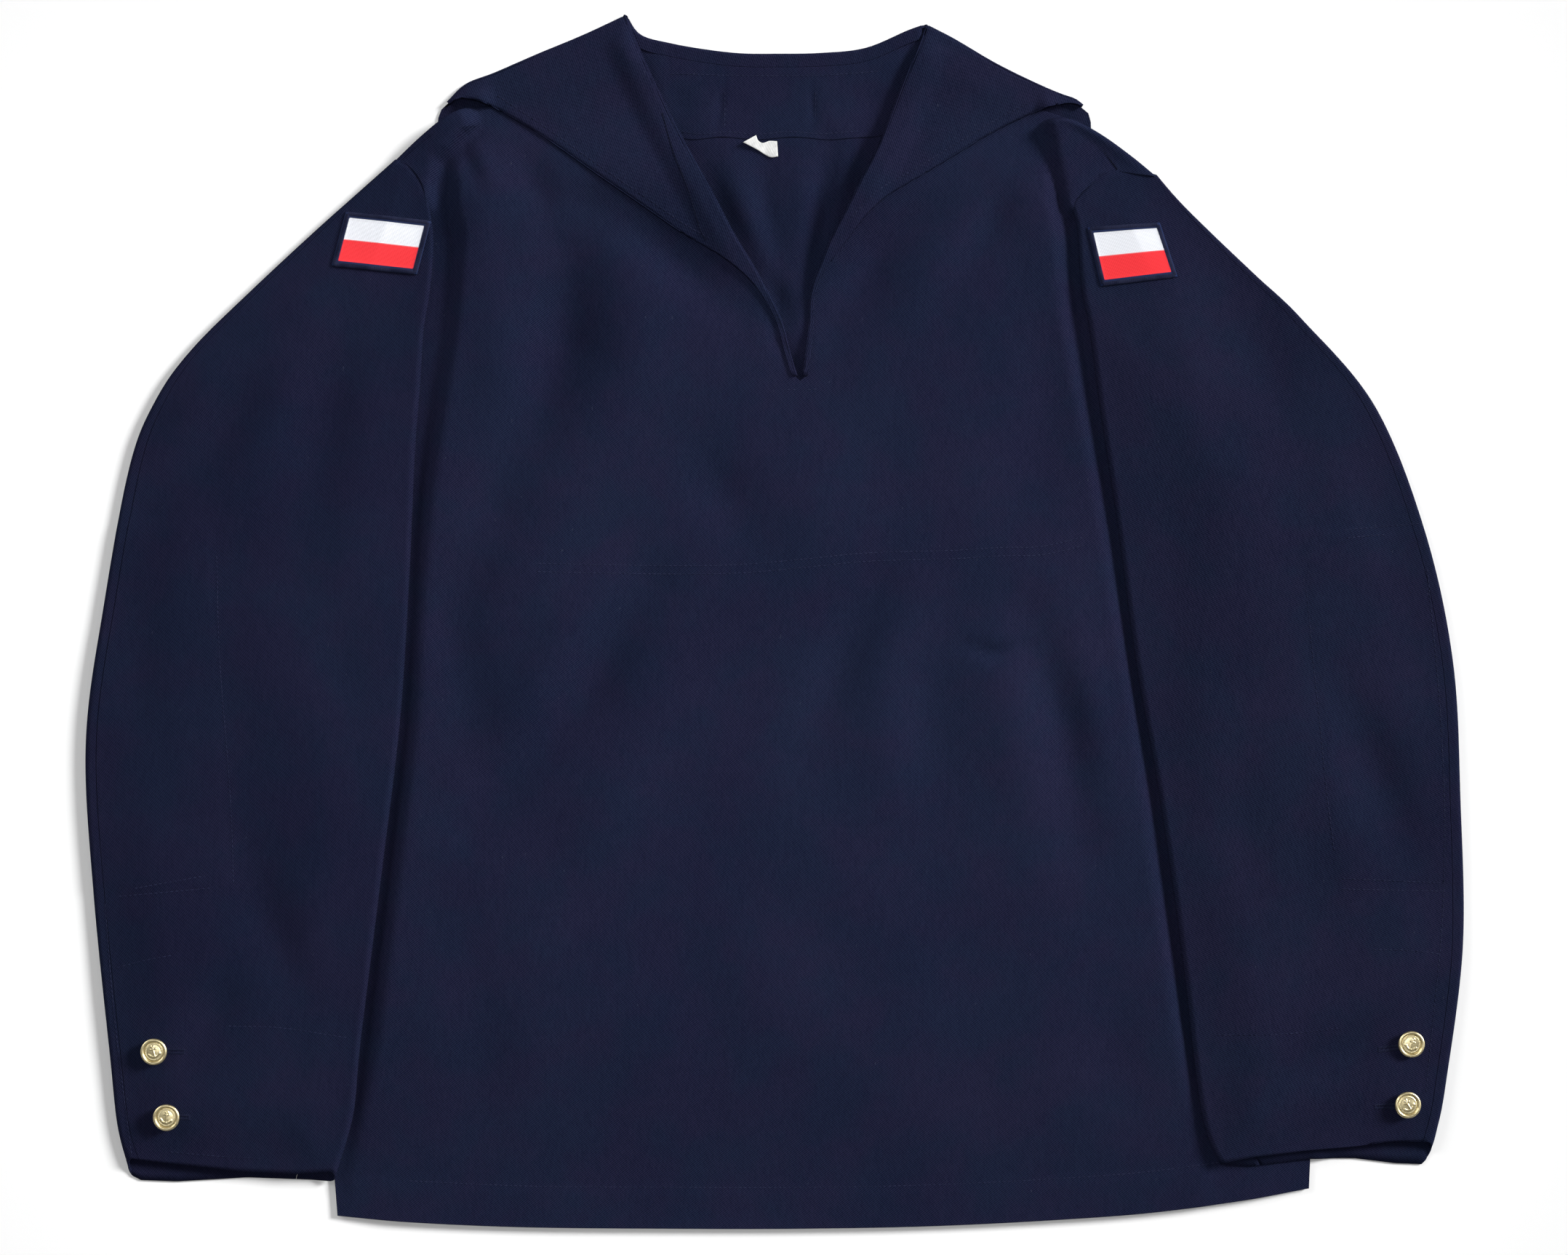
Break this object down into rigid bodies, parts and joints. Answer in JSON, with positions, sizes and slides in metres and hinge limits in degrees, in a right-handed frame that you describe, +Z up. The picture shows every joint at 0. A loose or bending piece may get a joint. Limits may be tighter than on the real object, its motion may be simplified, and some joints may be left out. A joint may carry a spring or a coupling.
{
  "type": "sailor jumper",
  "caption": "Navy pullover jumper laid flat, with a deep V neck, square sailor collar turned over the shoulders, long sleeves, woven flag patches and domed cuff buttons.",
  "frame": {"origin": "on the surface it lies on, under the middle of the garment's outline", "axes": "+X to the viewer's right across the garment, +Y from the hem to the collar, +Z up out of the chest"},
  "size_m": [0.8327, 0.7333, 0.0097],
  "materials": {
    "cloth": "fine dark navy twill",
    "collar_cloth": "fine dark navy twill",
    "patch": "woven, white over red, navy overlocked border",
    "brass": "polished",
    "label": "white ribbon"
  },
  "bodies": {
    "root": {"back": "cloth", "front": "cloth", "sleeve_left_upper": "cloth", "sleeve_left_under": "cloth", "sleeve_right_upper": "cloth", "sleeve_right_under": "cloth", "collar": "collar_cloth", "collar_stand": "collar_cloth", "flag_patch_left": "patch", "flag_patch_right": "patch", "button_left_upper": "brass", "button_left_lower": "brass", "button_right_upper": "brass", "button_right_lower": "brass", "size_label": "label"}
  },
  "joints": []
}
